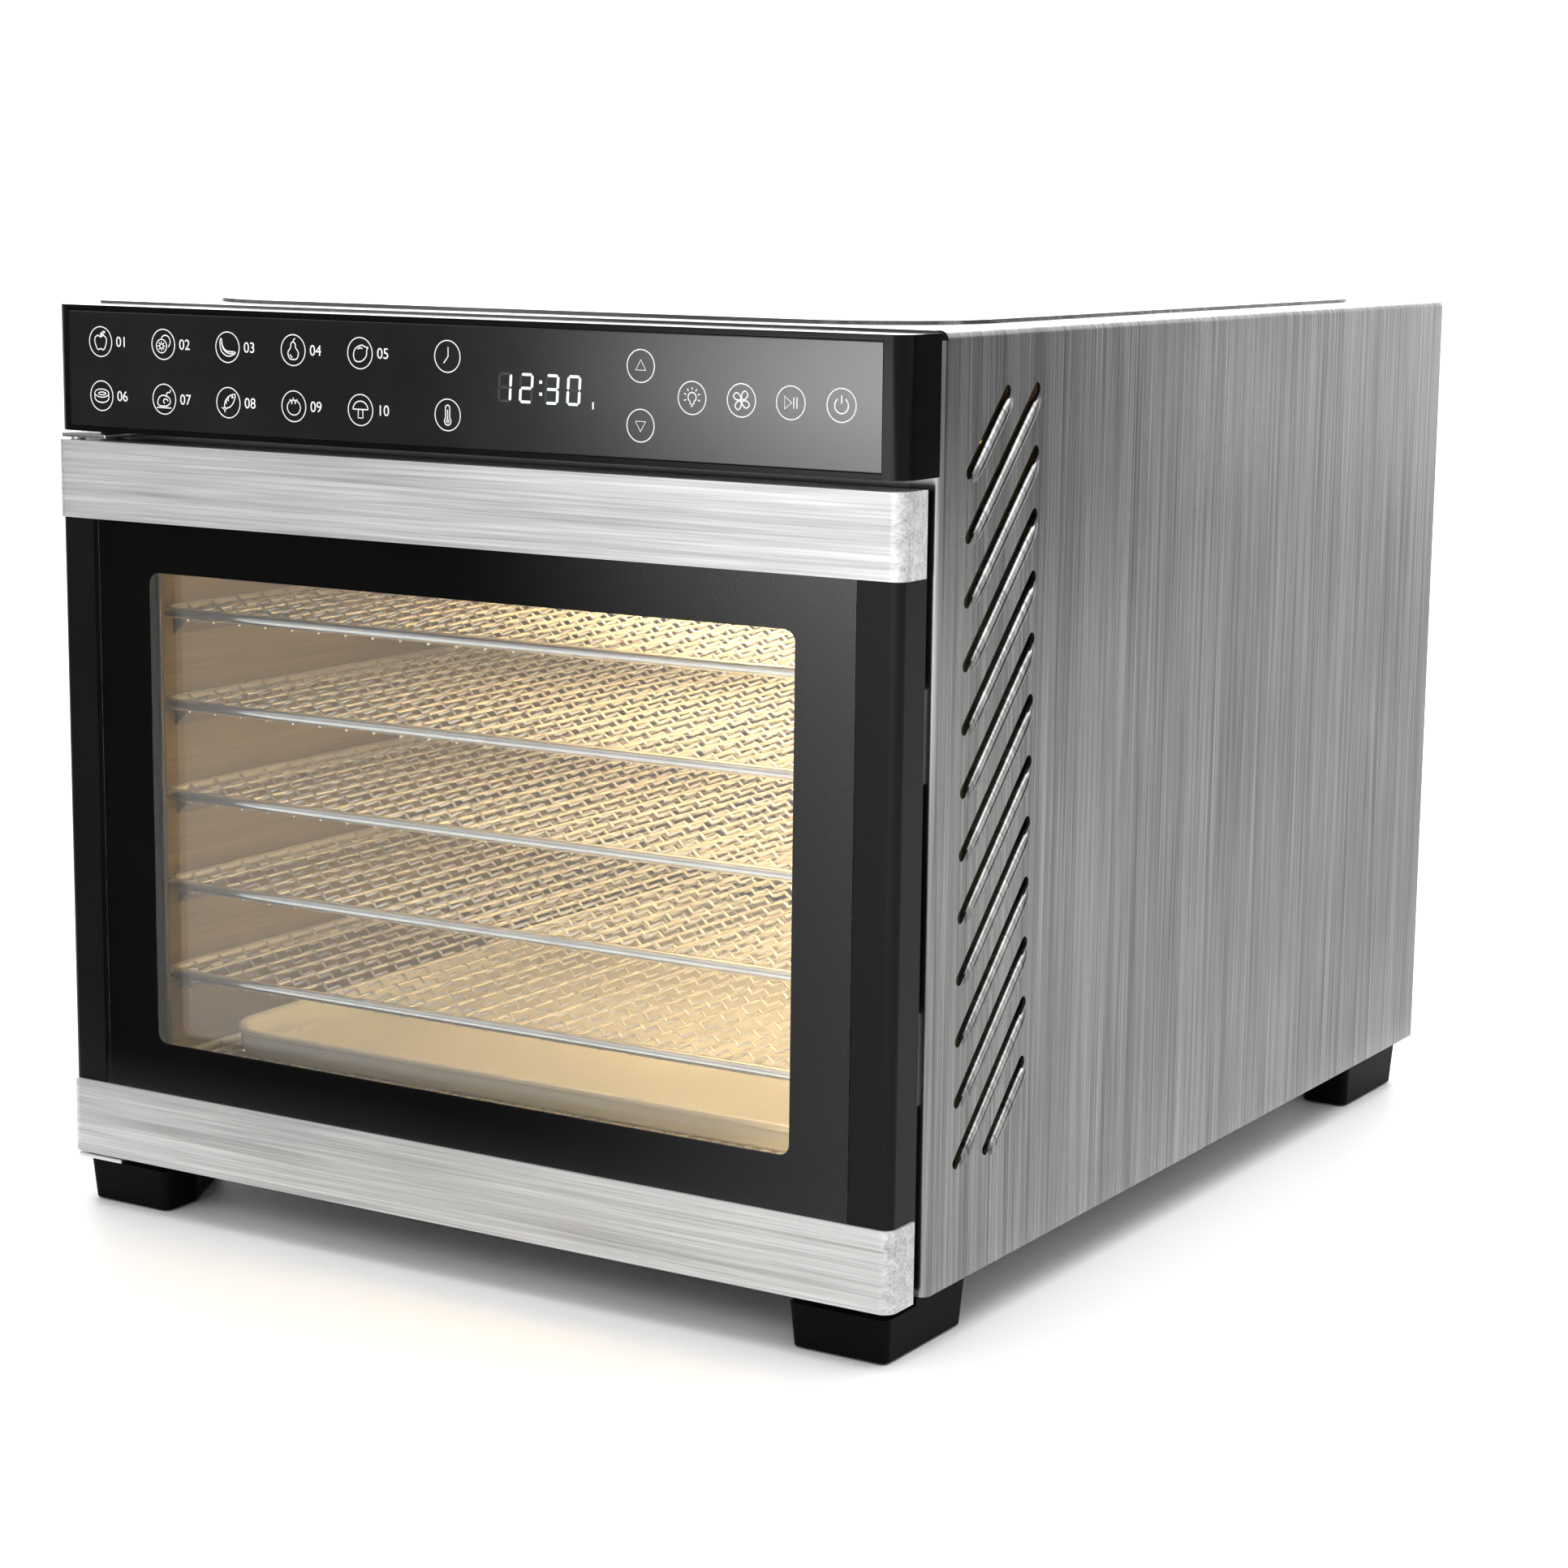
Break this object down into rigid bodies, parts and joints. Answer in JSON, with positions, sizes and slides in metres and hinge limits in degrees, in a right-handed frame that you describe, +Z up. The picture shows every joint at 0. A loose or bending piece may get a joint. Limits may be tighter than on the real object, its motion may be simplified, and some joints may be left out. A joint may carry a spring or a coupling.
{
  "type": "food dehydrator",
  "caption": "Cabinet food dehydrator with a glazed side-hinged door, sliding wire racks, rear fan and heater, and a touch panel above the door.",
  "frame": {"origin": "middle of the whole object's footprint, on the surface that it stands on", "axes": "+X to the right seen from the door, +Y from the door towards the back, +Z up"},
  "size_m": [0.3444, 0.45, 0.3242],
  "materials": {
    "case_steel": "brushed",
    "door_steel": "brushed",
    "frame_steel": "satin",
    "chamber_steel": "satin",
    "panel_plastic": "gloss",
    "panel_face_glass": "gloss",
    "display_plastic": "lit",
    "door_plastic": "satin",
    "window_glass": "clear",
    "border_ink": "enamel",
    "gasket_rubber": "matte",
    "magnet_metal": "satin",
    "rack_chrome": "polished",
    "mesh_silicone": "translucent",
    "tray_plastic": "gloss",
    "fan_aluminium": "satin",
    "bright_steel": "bright",
    "motor_iron": "satin",
    "heater_metal": "heat-stained",
    "sensor_plastic": "satin",
    "lamp_metal": "satin",
    "lamp_glass": "frosted",
    "board_laminate": "satin",
    "foot_plastic": "matte",
    "pad_rubber": "matte"
  },
  "bodies": {
    "cabinet": {"outer_case": "case_steel", "back_panel": "case_steel", "base_pan": "case_steel", "rear_cover": "case_steel", "front_frame": "frame_steel", "hinge_brackets": "frame_steel", "hinge_pins": "frame_steel", "strike_plates": "frame_steel", "chamber_wall_left": "chamber_steel", "chamber_wall_right": "chamber_steel", "chamber_roof": "chamber_steel", "chamber_floor": "chamber_steel", "air_baffle": "chamber_steel", "rear_wall": "chamber_steel", "fan_guard": "chamber_steel", "panel_housing": "panel_plastic", "panel_glass": "panel_face_glass", "display_module": "display_plastic", "motor_posts": "bright_steel", "heater_clips": "bright_steel", "temperature_probe": "bright_steel", "case_screws": "bright_steel", "cover_screws": "bright_steel", "foot_screws": "bright_steel", "fan_motor": "motor_iron", "heater_element": "heater_metal", "thermostat": "sensor_plastic", "thermal_fuse": "sensor_plastic", "mains_inlet": "sensor_plastic", "lamp_holder": "lamp_metal", "lamp_bulb": "lamp_glass", "lamp_lens": "lamp_glass", "control_board": "board_laminate", "power_board": "board_laminate", "foot_front_left": "foot_plastic", "foot_front_right": "foot_plastic", "foot_rear_left": "foot_plastic", "foot_rear_right": "foot_plastic", "foot_pads": "pad_rubber"},
    "door": {"door_frame": "door_plastic", "door_top_bar": "door_steel", "door_bottom_bar": "door_steel", "door_glass": "window_glass", "window_border": "border_ink", "inner_glass": "window_glass", "inner_frame": "door_plastic", "door_gasket": "gasket_rubber", "door_magnets": "magnet_metal"},
    "level_1": {"rack_1": "rack_chrome", "mesh_sheet": "mesh_silicone", "fruit_roll_tray": "tray_plastic"},
    "level_2": {"rack_2": "rack_chrome"},
    "level_3": {"rack_3": "rack_chrome"},
    "level_4": {"rack_4": "rack_chrome"},
    "level_5": {"rack_5": "rack_chrome"},
    "level_6": {"rack_6": "rack_chrome"},
    "level_7": {"rack_7": "rack_chrome"},
    "fan": {"fan_wheel": "fan_aluminium", "fan_shaft": "bright_steel"}
  },
  "joints": [
    {"name": "door_hinge", "type": "hinge", "parent": "cabinet", "child": "door", "pos_m": [-0.165, -0.219, 0.147], "axis": [0, 0, -1], "range_deg": [0, 110]},
    {"name": "rack_1_slide", "type": "slide", "parent": "cabinet", "child": "level_1", "axis": [0, -1, 0], "range_m": [0, 0.008]},
    {"name": "rack_2_slide", "type": "slide", "parent": "cabinet", "child": "level_2", "axis": [0, -1, 0], "range_m": [0, 0.008]},
    {"name": "rack_3_slide", "type": "slide", "parent": "cabinet", "child": "level_3", "axis": [0, -1, 0], "range_m": [0, 0.008]},
    {"name": "rack_4_slide", "type": "slide", "parent": "cabinet", "child": "level_4", "axis": [0, -1, 0], "range_m": [0, 0.008]},
    {"name": "rack_5_slide", "type": "slide", "parent": "cabinet", "child": "level_5", "axis": [0, -1, 0], "range_m": [0, 0.008]},
    {"name": "rack_6_slide", "type": "slide", "parent": "cabinet", "child": "level_6", "axis": [0, -1, 0], "range_m": [0, 0.008]},
    {"name": "rack_7_slide", "type": "slide", "parent": "cabinet", "child": "level_7", "axis": [0, -1, 0], "range_m": [0, 0.008]},
    {"name": "fan_spin", "type": "hinge", "parent": "cabinet", "child": "fan", "pos_m": [0, 0.17, 0.149], "axis": [0, 1, 0], "continuous": true}
  ]
}
